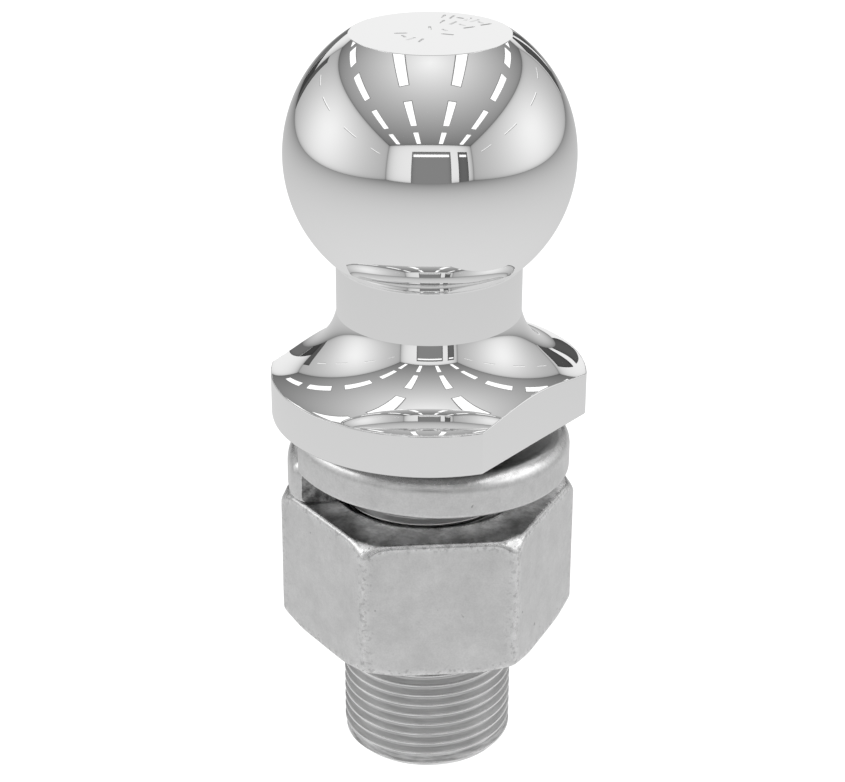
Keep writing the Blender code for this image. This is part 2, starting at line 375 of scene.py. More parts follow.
def flange_curve(share):
    """Radius and height of the flange's hollow top; share is 0 at the rim, 1 at the neck."""
    weights = ((1.0 - share) ** 3, 3.0 * share * (1.0 - share) ** 2,
               3.0 * share ** 2 * (1.0 - share), share ** 3)
    radius, rise = (sum(weight * place[axis] for weight, place in zip(weights, FLANGE_GUIDE))
                    for axis in (0, 1))
    return radius, RIM_Z + rise


def flange_share(radius):
    """The share at which flange_curve reaches a radius."""
    low, high = np.zeros_like(radius), np.ones_like(radius)
    for _ in range(50):
        middle = 0.5 * (low + high)
        beyond = flange_curve(middle)[0] < radius
        low, high = np.where(beyond, low, middle), np.where(beyond, middle, high)
    return 0.5 * (low + high)


def rim_corner(outline, turn):
    """The three points that round the rim's upper edge: on the top, the corner, on the wall."""
    limit = outline(turn)
    near = limit - RIM_EDGE
    share = flange_share(near)
    height = flange_curve(share)[1]
    inner = flange_curve(flange_share(near - NUDGE * MM))[1]
    corner = height + (height - inner) / (NUDGE * MM) * RIM_EDGE
    return share, (near, height), (limit, corner), (limit, corner - RIM_EDGE)


def flange_sector(outline, turns):
    """One sector of the flange: its hollow top, rim and seat, with the edges between them."""
    def top(u, v):
        end = rim_corner(outline, u)[0]
        radius, height = flange_curve(1.0 + v * (end - 1.0))
        return polar(radius, u, height)

    def edge(u, v):
        radius, height = bend(*rim_corner(outline, u)[1:], v)
        return polar(radius, u, height)

    def wall(u, v):
        upper = rim_corner(outline, u)[3][1]
        return polar(outline(u), u, upper + v * (SEAT_Z + SEAT_EDGE - upper))

    def lower_edge(u, v):
        limit = outline(u)
        radius, height = bend((limit, SEAT_Z + SEAT_EDGE), (limit, SEAT_Z),
                              (limit - SEAT_EDGE, SEAT_Z), v)
        return polar(radius, u, height)

    def seat(u, v):
        far, near = outline(u) - SEAT_EDGE, SHANK_RADIUS + SHANK_FILLET
        return polar(far + v * (near - far), u, SEAT_Z)

    return [patch(top, turns, even(37), upward), patch(edge, turns, even(5), upward),
            patch(wall, turns, even(4), outward), patch(lower_edge, turns, even(4), downward),
            patch(seat, turns, even(3), downward)]


def turned(columns, profile, rows, towards):
    """A patch of a surface of revolution; profile(v) gives radius and height."""
    def surface(u, v):
        radius, height = profile(v)
        return polar(radius + 0.0 * u, u, height)
    return patch(surface, columns, rows, towards, loop=True)


def straight(start, end):
    return lambda v: [p + v * (q - p) for p, q in zip(start, end)]


def rounded(start, corner, end):
    return lambda v: bend(start, corner, end, v)


def neck_and_ball_patches(columns):
    """The radius of the ball's flat top, and the patches from the flange up to it."""
    foot = RIM_Z + FLANGE_RISE
    centre_r = NECK_RADIUS + NECK_FILLET
    drop = math.sqrt((BALL_RADIUS + NECK_FILLET) ** 2 - centre_r ** 2)
    centre_z = BALL_Z - drop
    low = -math.atan2(drop, centre_r)
    high = math.asin(TOP_FLAT_RISE / BALL_RADIUS) - TOP_EDGE / BALL_RADIUS

    def fillet(v):
        turn = math.pi + v * low
        return centre_r + NECK_FILLET * np.cos(turn), centre_z + NECK_FILLET * np.sin(turn)

    def ball(v):
        turn = low + v * (high - low)
        return BALL_RADIUS * np.cos(turn), BALL_Z + BALL_RADIUS * np.sin(turn)

    near = ball(1.0)
    corner_r = near[0] - (FORGING_TOP - near[1]) * math.tan(high)
    flat_edge = (corner_r - TOP_EDGE, FORGING_TOP)
    return corner_r - TOP_EDGE, [
        turned(columns, straight((NECK_RADIUS, foot), (NECK_RADIUS, centre_z)), even(7), outward),
        turned(columns, fillet, even(7), outward),
        turned(columns, ball, even(97), outward),
        turned(columns, rounded(near, (corner_r, FORGING_TOP), flat_edge), even(6), upward)]


def shank_patches(columns):
    plain_foot = SEAT_Z - PLAIN_SHANK
    step = SHANK_RADIUS - RUNOUT_RADIUS
    neck = (SHANK_RADIUS, SEAT_Z - SHANK_FILLET)
    shoulder = (SHANK_RADIUS, plain_foot + step)
    rows = even(5)
    return [
        turned(columns, rounded((SHANK_RADIUS + SHANK_FILLET, SEAT_Z), (SHANK_RADIUS, SEAT_Z),
                                neck), rows, outward),
        turned(columns, straight(neck, shoulder), rows, outward),
        turned(columns, straight(shoulder, (RUNOUT_RADIUS, plain_foot)), rows[::2], outward),
        helix_patch(columns, 0.0, plain_foot, shank_radius, (SHANK_END_RADIUS, RUNOUT_RADIUS),
                    outward),
        turned(columns, straight((SHANK_END_RADIUS, 0.0), (0.0, 0.0)), rows, downward)]


def mark_outline(centre, heading, length, width):
    """Points round a bar with round ends."""
    turns = heading + math.pi * (even(MARK_ROUND + 1) - 0.5)
    bend_out = np.stack([np.cos(turns), np.sin(turns)], axis=1) * width / 2.0
    ahead = np.array([math.cos(heading), math.sin(heading)]) * length / 2.0
    return np.concatenate([centre + ahead + bend_out, centre - ahead - bend_out])


def stamped_marks():
    """Generic stamped bars in short arcs on the ball's flat top: (centre, heading, length)."""
    marks = []
    for arc_radius, first, last, count in STAMP_ARCS:
        for step in range(count):
            turn = math.radians(first + (last - first) * step / (count - 1))
            centre = arc_radius * np.array([math.cos(turn), math.sin(turn)])
            across = step % 3 == 1
            marks.append((centre, turn + (math.pi / 2.0 if across else 0.0),
                          STAMP_SHORT if across else STAMP_LONG))
    return marks


def sunk_mark(centre, heading, length):
    """A mark's outline on the flat top, and the patches of its sloping wall and its floor."""
    outer = mark_outline(centre, heading, length, STAMP_WIDTH + MARK_WALL)
    inner = mark_outline(centre, heading, length, STAMP_WIDTH - MARK_WALL)
    count = len(outer)
    upper = np.column_stack([outer, np.full(count, FORGING_TOP)])
    lower = np.column_stack([inner, np.full(count, FORGING_TOP - MARK_DEPTH)])
    slant = np.column_stack([inner - outer, np.zeros(count)])
    slant = unit(unit(slant, 0.0) + (0.0, 0.0, 0.6), 0.0)
    ring = np.arange(count)
    beyond = (ring + 1) % count
    hub = np.full(count, count)
    middle = np.array([[*centre, FORGING_TOP - MARK_DEPTH]])
    wall = (np.concatenate([upper, lower]), np.concatenate([slant, slant]), np.zeros(2 * count),
            np.stack([ring, beyond, beyond + count, ring + count], axis=1))
    floor = (np.concatenate([lower, middle]), upward(np.zeros((count + 1, 3))),
             np.zeros(count + 1), np.stack([ring, beyond, hub, hub], axis=1))
    return outer, [wall, floor]


def sheet_with_holes(loops, height):
    """A flat patch inside the first loop and outside the others; loops are lists of places."""
    starts = np.cumsum([0] + [len(loop) for loop in loops])
    edges = [(int(start + step), int(start + (step + 1) % len(loop)))
             for start, loop in zip(starts, loops) for step in range(len(loop))]
    places = np.concatenate(loops)
    flat = delaunay_2d_cdt([Vector(place) for place in places / MM], edges, [], 1, 1e-6)
    triangles, sources = np.array(flat[2]), [source[0] for source in flat[3]]
    owner = np.repeat(np.arange(len(loops)), [len(loop) for loop in loops])[sources]
    owners = owner[triangles]
    outside = (owners.min(axis=1) != owners.max(axis=1)) | (owners[:, 0] == 0)
    faces = triangles[outside][:, [0, 1, 2, 2]]
    points = np.column_stack([places[sources], np.full(len(sources), height)])
    one, two, three = (points[faces[:, step]] for step in range(3))
    turned_over = np.cross(two - one, three - one)[:, 2] < 0.0
    faces[turned_over] = faces[turned_over][:, [2, 1, 0, 0]]
    return points, upward(points), np.zeros(len(points)), faces


def top_flat_patches(columns, radius):
    """The ball's flat top, with its stamped marks as shallow sunk bars."""
    rim = np.stack([radius * np.cos(columns[:-1]), radius * np.sin(columns[:-1])], axis=1)
    loops, parts = [rim], []
    for mark in stamped_marks():
        outline, patches = sunk_mark(*mark)
        loops.append(outline)
        parts += patches
    return parts + [sheet_with_holes(loops, FORGING_TOP)]


def make_forging(material):
    columns = np.concatenate([turns[:-1] for _, turns in flange_sectors()])
    columns = np.append(columns, columns[0] + TURN)
    flat_radius, upper = neck_and_ball_patches(columns)
    parts = [part for sector in flange_sectors() for part in flange_sector(*sector)]
    parts += upper + shank_patches(columns) + top_flat_patches(columns, flat_radius)
    return build_piece("hitch_ball_forging", parts, material)


# ---------------------------------------------------------------- nut

def off_face(turn):
    """Angle from the middle of the nearest of the nut's six faces."""
    return np.mod(turn - NUT_FACE + math.pi / 6.0, math.pi / 3.0) - math.pi / 6.0


def hexagon(turn):
    """Radius of a hexagon with rounded corners."""
    local = off_face(turn)
    away = math.pi / 6.0 - np.abs(local)
    inner = NUT_APOTHEM - NUT_CORNER
    centre = inner / math.cos(math.pi / 6.0)
    begins = math.pi / 6.0 - math.atan2(inner * math.tan(math.pi / 6.0), NUT_APOTHEM)
    spot = centre * np.cos(away)
    arc = spot + np.sqrt(np.maximum(spot ** 2 - centre ** 2 + NUT_CORNER ** 2, 0.0))
    return np.where(away < begins, arc, NUT_APOTHEM / np.cos(local))


def nut_columns():
    """Angles round the nut, closer together at its corners."""
    share = np.concatenate([np.linspace(-30.0, -28.0, 6)[:-1], np.linspace(-28.0, 28.0, 19)[:-1],
                            np.linspace(28.0, 30.0, 6)[:-1]])
    turns = np.concatenate([np.radians(share + 60.0 * face) + NUT_FACE for face in range(6)])
    return np.append(turns, turns[0] + TURN)


def face_height(radius, face, limit, slope, outer):
    """Height of the nut's end face at a radius, with its corner chamfer; outer is +1 on top."""
    excess, at_bore = (smooth_max(reach - limit, 0.0, 0.5 * MM)
                       for reach in (radius, COUNTERSINK_RADIUS))
    return face - outer * slope * (excess - at_bore)


def nut_warp(points):
    return pressed_in(points, NUT_WAVE, 19.0 * MM, 5, 15.0 * MM)


def nut_wear(turn, extra):
    """Wear along the nut's upright edges, or extra where that is more."""
    near = 1.0 - (math.pi / 6.0 - np.abs(off_face(turn))) / math.radians(4.5)
    return np.maximum(np.clip(near, 0.0, 1.0), extra)


def plane_wear(turn, share):
    return np.clip(nut_wear(turn, 0.0) * (share > 0.8) + np.maximum((share - 0.9) * 10.0, 0.0),
                   0.0, 1.0)


def wall_wear(turn, share):
    return nut_wear(turn, np.clip(1.0 - share / 0.05, 0.0, 1.0)
                    + np.clip(1.0 - (1.0 - share) / 0.05, 0.0, 1.0))


def nut_edge(turn, face, limit, slope, outer):
    """The points that round an end face's outer edge: on the face, the corner, on the wall."""
    reach = hexagon(turn)
    near = reach - NUT_EDGE
    height = face_height(near, face, limit, slope, outer)
    rise = face_height(near + NUDGE * MM, face, limit, slope, outer) - height
    corner = height + rise / (NUDGE * MM) * NUT_EDGE
    return (near, height), (reach, corner), (reach, corner - outer * NUT_EDGE)


def nut_end(columns, end):
    """An end face and its rounded outer edge; end is its height, chamfer and outer side."""
    def plane(u, v):
        near = nut_edge(u, *end)[0][0]
        radius = COUNTERSINK_RADIUS + v * (near - COUNTERSINK_RADIUS)
        return nut_warp(polar(radius, u, face_height(radius, *end)))

    def edge(u, v):
        radius, height = bend(*nut_edge(u, *end), v)
        return nut_warp(polar(radius, u, height))

    rows = (0.0, 0.25, 0.5, 0.65, 0.75, 0.82, 0.87, 0.91, 0.94, 0.97, 1.0)
    towards = upward if end[3] > 0.0 else downward
    return [patch(plane, columns, rows, towards, loop=True, wear=plane_wear),
            patch(edge, columns, even(7), towards, loop=True, wear=lambda u, v: 1.0)]


def make_nut(material):
    columns = nut_columns()
    ends = ((NUT_HIGH.z, TOP_CHAMFER_RADIUS, TOP_CHAMFER_SLOPE, 1.0),
            (NUT_LOW.z, BOTTOM_CHAMFER_RADIUS, BOTTOM_CHAMFER_SLOPE, -1.0))

    def wall(u, v):
        top, bottom = (nut_edge(u, *end)[2] for end in ends)
        return nut_warp(polar(top[0], u, top[1] + v * (bottom[1] - top[1])))

    parts = nut_end(columns, ends[0]) + nut_end(columns, ends[1]) + [
        patch(wall, columns, even(27), outward, loop=True, wear=wall_wear),
        # The bore is given CUT_FACE wear, so it is painted dark: painted shade in the gap round the
        # shank, partly grime.
        helix_patch(columns, NUT_LOW.z, NUT_HIGH.z, nut_bore_radius,
                    (COUNTERSINK_RADIUS, COUNTERSINK_RADIUS), inward, warp=nut_warp,
                    wear=lambda u, v: CUT_FACE)]
    return build_piece("zinc_nut", parts, material)


# ---------------------------------------------------------------- washer

def section_corners():
    """The arcs of the section's four rounded corners, from its centre: (centre, radius, start)."""
    half_w, half_h = (WASHER_OUTER - WASHER_INNER) / 2.0, WASHER_THICKNESS / 2.0
    sides = ((1.0, -1.0), (1.0, 1.0), (-1.0, 1.0), (-1.0, -1.0))
    return [((x * (half_w - radius), y * (half_h - radius)), radius, 90.0 * (step - 1))
            for step, ((x, y), radius) in enumerate(zip(sides, WASHER_CORNERS))]


def on_corner(corner, share):
    centre, radius, start = corner
    turn = np.radians(start + 90.0 * share)
    return centre[0] + radius * np.cos(turn), centre[1] + radius * np.sin(turn)


def washer_section(v):
    """Place on the section's outline, from its centre: a corner for v from 0 to 1, then a side."""
    corners = section_corners()
    v = np.mod(v, 8.0)
    x, y = np.zeros_like(v), np.zeros_like(v)
    for step, corner in enumerate(corners):
        share = v - 2.0 * step
        here = (share >= 0.0) & (share < 2.0)
        side = np.clip(share - 1.0, 0.0, 1.0)
        from_x, from_y = on_corner(corner, np.clip(share, 0.0, 1.0))
        to_x, to_y = on_corner(corners[(step + 1) % 4], 0.0)
        x = np.where(here, from_x + side * (to_x - from_x), x)
        y = np.where(here, from_y + side * (to_y - from_y), y)
    return x, y


def washer_wear(u, v):
    """Wear along the two outer corners, wherever it is along the coil."""
    along = np.mod(v, 2.0)
    return np.where(np.mod(v, 8.0) < 4.0, np.clip(1.0 - np.abs(along - 0.5) / 0.8, 0.0, 1.0), 0.0)


def washer_warp(points):
    return pressed_in(points, WASHER_WAVE, 17.0 * MM, 9, 9.0 * MM)


def cut_end(ring, end):
    """The raw face that closes the coil at its start or its end; ring is its outline."""
    heading = WASHER_HIGH_END + WASHER_SWEEP * end
    ahead = np.array([-math.sin(heading), math.cos(heading), 0.0]) * (1.0 if end else -1.0)
    centre = ring[:-1].mean(axis=0)
    normal = np.cross(ring[4] - centre, ring[12] - centre)
    normal /= np.linalg.norm(normal)
    normal *= 1.0 if normal @ ahead > 0.0 else -1.0
    count = len(ring)
    step, hub = np.arange(count - 1), np.full(count - 1, count)
    faces = np.stack([step, step + 1, hub, hub], axis=1)
    if np.cross(ring[1] - ring[0], centre - ring[0]) @ normal < 0.0:
        faces = faces[:, [1, 0, 2, 2]]
    # CUT_FACE darkens this face, partly as grime and partly as painted shade.
    return (np.concatenate([ring, centre[None]]), np.tile(normal, (count + 1, 1)),
            np.full(count + 1, CUT_FACE), faces)


def make_washer(material):
    """One turn of a left-hand coil with two cut ends."""
    middle = (WASHER_OUTER + WASHER_INNER) / 2.0
    half = (WASHER_OUTER - WASHER_INNER) / 2.0
    high = WASHER_HIGH.z - WASHER_THICKNESS / 2.0
    low = WASHER_LOW.z + WASHER_THICKNESS / 2.0
    round_share = WASHER_END_ROUND / (middle * WASHER_SWEEP)

    def coil(u, v):
        """The coil's skin; its ends are rounded outward and upward, and keep a sharp foot."""
        x, y = washer_section(v)
        from_end = np.clip(np.minimum(u, 1.0 - u) / round_share, 0.0, 1.0)
        inset = WASHER_END_ROUND * (1.0 - np.sqrt(np.maximum(1.0 - (1.0 - from_end) ** 2, 0.0)))
        x = np.where(x > 0.0, x * (1.0 - inset / half), x)
        y = np.where(y > 0.0, y * (1.0 - inset / (WASHER_THICKNESS / 2.0)), y)
        radius = middle + x
        turn = (WASHER_HIGH_END + WASHER_SWEEP * u
                + WASHER_SKEW * (WASHER_OUTER - radius) / (2.0 * half))
        return washer_warp(polar(radius, turn, high + (low - high) * u + y))

    near = round_share * (1.0 - np.cos(np.linspace(0.0, math.pi / 2.0, 7)))
    along = np.concatenate([near[:-1], np.linspace(round_share, 1.0 - round_share, 200),
                            (1.0 - near[:-1])[::-1]])
    rows = np.concatenate([np.linspace(2.0 * side, 2.0 * side + 1.0, 7) for side in range(4)])
    rows = np.concatenate([rows, [1.33, 1.66, 3.25, 3.5, 3.75, 7.25, 7.5, 7.75, 5.5, 8.0]])
    rows = np.unique(rows)

    def from_core(points):
        """Directions away from the middle of the coil's section."""
        core = unit(outward(points), 0.0) * middle
        turn = np.mod(np.arctan2(points[..., 1], points[..., 0]) - WASHER_HIGH_END, TURN)
        core = core + (0.0, 0.0, 1.0) * (high + (low - high) * turn / WASHER_SWEEP)[..., None]
        return points - core

    parts = [patch(coil, along, rows, from_core, wear=washer_wear)]
    parts += [cut_end(coil(np.full(len(rows), end), rows), end) for end in (0.0, 1.0)]
    return build_piece("spring_washer", parts, material)


# ---------------------------------------------------------------- materials

CHROME_TONE = 0.93              # what the chrome gives back of the light that falls on it
SEAT_TONE = 0.3
# The thread's tones are painted light: crests lighter as a painted highlight, flanks and roots
# darker as painted shade.
PAINTED_SHADE_THREAD_TONE, PAINTED_HIGHLIGHT_CREST_TONE, FOOT_TONE = (0.56, 0.70), (0.76, 0.92), (0.5, 1.0)
MIRROR_ROUGHNESS, SEAT_ROUGHNESS = (0.012, 0.03), 0.4
THREAD_ROUGHNESS, CREST_ROUGHNESS = (0.30, 0.38), 0.2
TURNING_AROUND, TURNING_ALONG = 150.0, 2600.0   # the shank's tool marks are long, thin noise


class Nodes:
    """A short way to add and link the nodes of one material."""

    def __init__(self, name):
        self.material = bpy.data.materials.new(name)
        self.material.use_nodes = True
        self.tree = self.material.node_tree
        self.shader = self.tree.nodes["Principled BSDF"]

    def add(self, kind, inputs=(), **settings):
        made = self.tree.nodes.new(kind)
        for key, value in settings.items():
            setattr(made, key, value)
        for key, value in dict(inputs).items():
            self.feed(made.inputs[key], value)
        return made

    def feed(self, socket, value):
        if isinstance(value, bpy.types.NodeSocket):
            self.tree.links.new(value, socket)
        else:
            socket.default_value = value

    def light(self, strength):
        """Plain light from the surface, which isn't aimed at like a lamp's."""
        self.material.cycles.emission_sampling = "NONE"
        return self.add("ShaderNodeEmission", {"Strength": strength}).outputs[0]

    def surface(self, shading):
        """Puts other shading in the place of the material's own shader."""
        self.tree.nodes.remove(self.shader)
        self.feed(self.tree.nodes["Material Output"].inputs["Surface"], shading)

    def look(self, name, value):
        self.feed(self.shader.inputs[name], value)

    def place(self):
        return self.add("ShaderNodeTexCoord").outputs["Object"]

    def position(self):
        """A point's x, y and height on the part, and its distance from the part's axis."""
        x, y, height = self.add("ShaderNodeSeparateXYZ", {"Vector": self.place()}).outputs
        square = self.math("ADD", self.math("POWER", x, 2.0), self.math("POWER", y, 2.0))
        return x, y, height, self.math("SQRT", square)

    def noise(self, scale, detail=3.0, roughness=0.5, where=None):
        made = self.add("ShaderNodeTexNoise", {"Vector": where or self.place(), "Scale": scale,
                                               "Detail": detail, "Roughness": roughness})
        return made.outputs["Fac"]

    def remap(self, value, low, high, to_low=0.0, to_high=1.0):
        made = self.add("ShaderNodeMapRange", {"Value": value, "From Min": low, "From Max": high,
                                               "To Min": to_low, "To Max": to_high})
        return made.outputs["Result"]

    def math(self, operation, *values):
        made = self.add("ShaderNodeMath", operation=operation)
        for socket, value in zip(made.inputs, values):
            self.feed(socket, value)
        return made.outputs[0]

    def times(self, product, *others):
        for other in others:
            product = self.math("MULTIPLY", product, other)
        return product

    def blend(self, share, first, second):
        made = self.add("ShaderNodeMix", {"Factor": share}, data_type="FLOAT")
        self.feed(made.inputs["A"], first)
        self.feed(made.inputs["B"], second)
        return made.outputs["Result"]

    def grey(self, value):
        made = self.add("ShaderNodeCombineColor", {"Red": value, "Green": value, "Blue": value})
        return made.outputs[0]

    def bump(self, height, distance, below=None):
        inputs = {"Height": height, "Distance": distance}
        if below is not None:
            inputs["Normal"] = below
        return self.add("ShaderNodeBump", inputs).outputs[0]


def chrome_material():
    """Mirror chrome on ball and flange, a dull seat, and a satin shank with painted highlights on
    its crests and painted shade between.
    """
    nodes = Nodes("polished_chrome")
    noise, remap, blend, times = nodes.noise, nodes.remap, nodes.blend, nodes.times
    x, y, height, radius = nodes.position()
    plated = remap(height, SEAT_Z - 3.0 * MM, SEAT_Z - 1.0 * MM)
    seat = remap(height, SEAT_Z + 0.05 * MM, SEAT_Z + 0.3 * MM, 1.0, 0.0)
    crest = remap(radius, CREST_RADIUS - 0.30 * MM, CREST_RADIUS - 0.05 * MM)
    foot = remap(height, 1.4 * MM, 3.2 * MM, 1.0, 0.0)
    grain = noise(1500.0, 3.0, 0.5)
    rings = nodes.add("ShaderNodeCombineXYZ", {
        "X": times(x, TURNING_AROUND), "Y": times(y, TURNING_AROUND),
        "Z": times(height, TURNING_ALONG)}).outputs[0]
    turning = noise(1.0, 4.0, 0.65, where=rings)
    haze = noise(60.0, 4.0)
    mirror = blend(seat, remap(haze, 0.3, 0.7, *MIRROR_ROUGHNESS), SEAT_ROUGHNESS)
    satin = blend(crest, remap(grain, 0.3, 0.7, *THREAD_ROUGHNESS), CREST_ROUGHNESS)
    nodes.look("Roughness", blend(plated, satin, mirror))
    # Painted highlight on the thread's crests and painted shade on its flanks and roots.
    steel = blend(crest, remap(turning, 0.35, 0.65, *PAINTED_SHADE_THREAD_TONE),
                  remap(turning, 0.35, 0.65, *PAINTED_HIGHLIGHT_CREST_TONE))
    steel = blend(foot, steel, remap(turning, 0.38, 0.62, *FOOT_TONE))
    tone = blend(plated, steel, blend(seat, CHROME_TONE, SEAT_TONE))
    nodes.look("Base Color", nodes.grey(tone))
    unplated = nodes.math("SUBTRACT", 1.0, plated)
    nodes.look("Normal", nodes.bump(times(grain, unplated), 0.008 * MM))
    nodes.look("Metallic", 1.0)
    return nodes.material


def zinc_material(name, tone, roughness, wear_gain, pitting, speck_start, face=None):
    """Satin zinc plate: mottled, pitted along its edges, bright where worn, with grime and painted
    shade on cuts.

    face is the height of a flat end face, which carries painted light round its hole and is
    stained.
    """
    nodes = Nodes(name)
    noise, remap, blend, times = nodes.noise, nodes.remap, nodes.blend, nodes.times
    grain = noise(3200.0, 2.0, 0.5)
    mottle = noise(800.0, 4.0, 0.65)
    blotch = noise(190.0, 4.0, 0.6)
    edge = nodes.add("ShaderNodeAttribute", attribute_name="edge_wear").outputs["Fac"]
    cut = remap(edge, 1.2, 1.6)
    near_edge = nodes.math("SUBTRACT", remap(edge, 0.05, 0.9), cut)
    worn = times(nodes.math("POWER", remap(edge, 0.0, 1.0), 2.0),
                 remap(mottle, 0.4, 0.6, 0.2, 1.0))
    colour = times(remap(grain, 0.3, 0.7, 0.97, 1.03), remap(mottle, 0.3, 0.7, 0.95, 1.05),
                   remap(blotch, 0.3, 0.7, tone * 0.93, tone * 1.07))
    colour = nodes.math("ADD", colour, times(worn, wear_gain))
    speck = remap(noise(700.0, 1.0, 0.4), speck_start, speck_start + 0.03)
    pit = remap(noise(1300.0, 2.0, 0.5), 0.56, 0.64, 0.0, pitting)
    dark = nodes.math("MAXIMUM", speck, times(pit, near_edge))
    # Cuts and the nut's bore are darkened, partly as grime and partly as painted shade in the gaps
    # they face.
    grime_and_painted_shade = remap(mottle, 0.35, 0.65, 0.12, 0.4)
    colour = times(colour, remap(dark, 0.0, 1.0, 1.0, 0.62), blend(cut, 1.0, grime_and_painted_shade))
    rough = remap(mottle, 0.3, 0.7, roughness * 0.88, roughness * 1.12)
    rough = nodes.math("SUBTRACT", rough, times(worn, 0.3 * roughness))
    metallic = 1.0
    if face is not None:
        height, radius = nodes.position()[2:]
        on_face = remap(height, face - 0.25 * MM, face - 0.1 * MM)
        # Painted light: the face is made lighter and less metallic round its hole.
        painted_hole_light = times(remap(radius, COUNTERSINK_RADIUS + 1.0 * MM, COUNTERSINK_RADIUS + 5.0 * MM,
                           1.0, 0.0),
                     remap(blotch, 0.35, 0.6, 0.3, 1.0), on_face, nodes.math("SUBTRACT", 1.0, cut))
        metallic = remap(painted_hole_light, 0.0, 1.0, 1.0, 0.35)
        stain = remap(noise(330.0, 5.0, 0.7), 0.38, 0.62, 0.68, 1.25)
        colour = times(colour, remap(painted_hole_light, 0.0, 1.0, 1.0, 1.25), blend(on_face, 1.0, stain))
    nodes.look("Base Color", nodes.grey(colour))
    nodes.look("Roughness", rough)
    nodes.look("Metallic", metallic)
    soft = nodes.bump(blotch, 0.05 * MM)
    fine = nodes.bump(mottle, 0.02 * MM, below=soft)
    nodes.look("Normal", nodes.bump(dark, -0.02 * MM, below=fine))
    return nodes.material


# ---------------------------------------------------------------- studio

VIEW_TURN = math.radians(38.0)   # how far the camera stands round the part from -Y
RIGHT = Vector((math.cos(VIEW_TURN), math.sin(VIEW_TURN), 0.0))
AWAY = Vector((-math.sin(VIEW_TURN), math.cos(VIEW_TURN), 0.0))
UP = Vector((0.0, 0.0, 1.0))

# The room is measured from the ball's centre in units of its height: x is right, y away, z up.
ROOM = 0.9
ROOM_SIDE, ROOM_FRONT, ROOM_BACK = 1.40, 2.15, 2.30
ROOM_FLOOR = -0.15
CELLAR = -0.9                   # floor of a plain lit space below, for a nut off the shank
CELLAR_GLOW = 0.72
LAMP_ROWS = ((0.265, 0.385), (0.92, 1.05))
LAMP_SPANS = ((-2.04, -1.45), (-1.2, -0.6), (-0.31, 0.30), (0.6, 1.2), (1.45, 2.04))
# Each lamp's layers: (name, height, border, glow).
LAMP_LAYERS = (("frame", 0.994, 0.012, 0.22), ("lamp", 0.99, 0.0, 1.2))
# Windows on each wall: (low, high, top, glow).
WINDOWS = {"front": ((-0.53, 0.62, 0.775, 0.22), (0.855, 1.20, 0.775, 0.125)),
           "back": ((-1.39, -1.0, 0.27, 0.05), (-0.99, -0.35, 0.27, 0.15),
                    (0.45, 0.75, 0.62, 0.09), (0.86, 1.28, 0.66, 0.07)),
           "left": ((1.86, 2.29, 0.66, 0.09),), "right": ()}
WALL_GAPS = (0.01, 0.02)        # of the windows and strips, and of the blinds before them
BLIND_HEIGHTS, BLIND_INSET, BLIND_GLOW = (0.612, 0.686), 0.05, 1.1
STRIPS = {"left": ((-1.69, -1.26), (-0.72, -0.32), (0.22, 0.63), (1.03, 1.46)),
          "right": ((-1.60, -1.14), (-0.66, -0.25), (0.32, 0.73), (1.26, 1.76))}
STRIP_HEIGHT = {"left": 0.552, "right": 0.602}
# Each strip's layers: (name, bottom, top, glow).
STRIP_LAYERS = (("strip", 0.0, 0.013, 1.1), ("strip_shadow", -0.012, 0.0, 0.3))
SOFTBOX_GLOW = {"left": 0.95, "right": 0.76}
SOFTBOX_SIZE = (0.52, 0.36)
SOFTBOX_TURN, SOFTBOX_RISE, SOFTBOX_REACH = math.radians(82.0), math.radians(34.0), 0.6
FLOOR_Z = -30.0 * MM            # low enough for the nut to come right off the shank above it
FLOOR_REACH = 4.0
FLOOR_TONE, FLOOR_GLOW = 0.35, 0.74
WORLD_GLOW = 1.27


def show_in_reflections_only(item):
    for kind in ("camera", "diffuse", "shadow", "transmission", "volume_scatter"):
        setattr(item, f"visible_{kind}", False)


def glow_material():
    """Gives off the brightness that each panel's mesh carries as its glow."""
    nodes = Nodes("studio_glow")
    power = nodes.add("ShaderNodeAttribute", attribute_name="glow").outputs["Fac"]
    nodes.surface(nodes.light(power))
    return nodes.material


def spaced(low, high, count):
    """Places from low to high, closer together near both ends."""
    share = 0.5 - 0.5 * np.cos(math.pi * even(count))
    return low + (high - low) * (0.35 * even(count) + 0.65 * share)


def plane(axis, value):
    """The places (u, v) on the plane where one of the room's axes has a value."""
    return {"x": lambda u, v: (value, u, v), "y": lambda u, v: (u, value, v),
            "z": lambda u, v: (u, v, value)}[axis]


def room_panel(name, place, us, vs, glow, material):
    """A lit sheet through place(u, v); glow is its brightness or a function of u and v."""
    u, v = np.meshgrid(us, vs, indexing="ij")
    x, y, z = (ROOM * np.broadcast_to(value, u.shape) for value in place(u, v))
    points = np.stack([x * RIGHT.x + y * AWAY.x, x * RIGHT.y + y * AWAY.y, BALL_Z + z], axis=-1)
    mesh = bpy.data.meshes.new(name)
    mesh.from_pydata(points.reshape(-1, 3).tolist(), [], grid_faces(u.shape).tolist())
    power = np.broadcast_to(glow(u, v) if callable(glow) else glow, u.shape) / CHROME_TONE
    mesh.attributes.new("glow", "FLOAT", "POINT").data.foreach_set("value", power.ravel())
    mesh.materials.append(material)
    show_in_reflections_only(add_object(name, mesh))


def corner_shade(*distances):
    """Darkening where two surfaces of the room meet."""
    shade = 1.0
    for distance in distances:
        shade = shade * (1.0 - 0.34 * np.exp(-distance / 0.025) - 0.13 * np.exp(-distance / 0.12))
    return shade


def falloff(distance, reach, power):
    return 1.0 / (1.0 + (distance / reach) ** power)


def level_glow(gain, reach, power):
    """Brightness of the ceiling or the floor, which fades with distance from the part."""
    def glow(x, y):
        edges = corner_shade(ROOM_SIDE - np.abs(x), ROOM_FRONT + y, ROOM_BACK - y)
        return gain * falloff(np.hypot(x, y), reach, power) * edges
    return glow


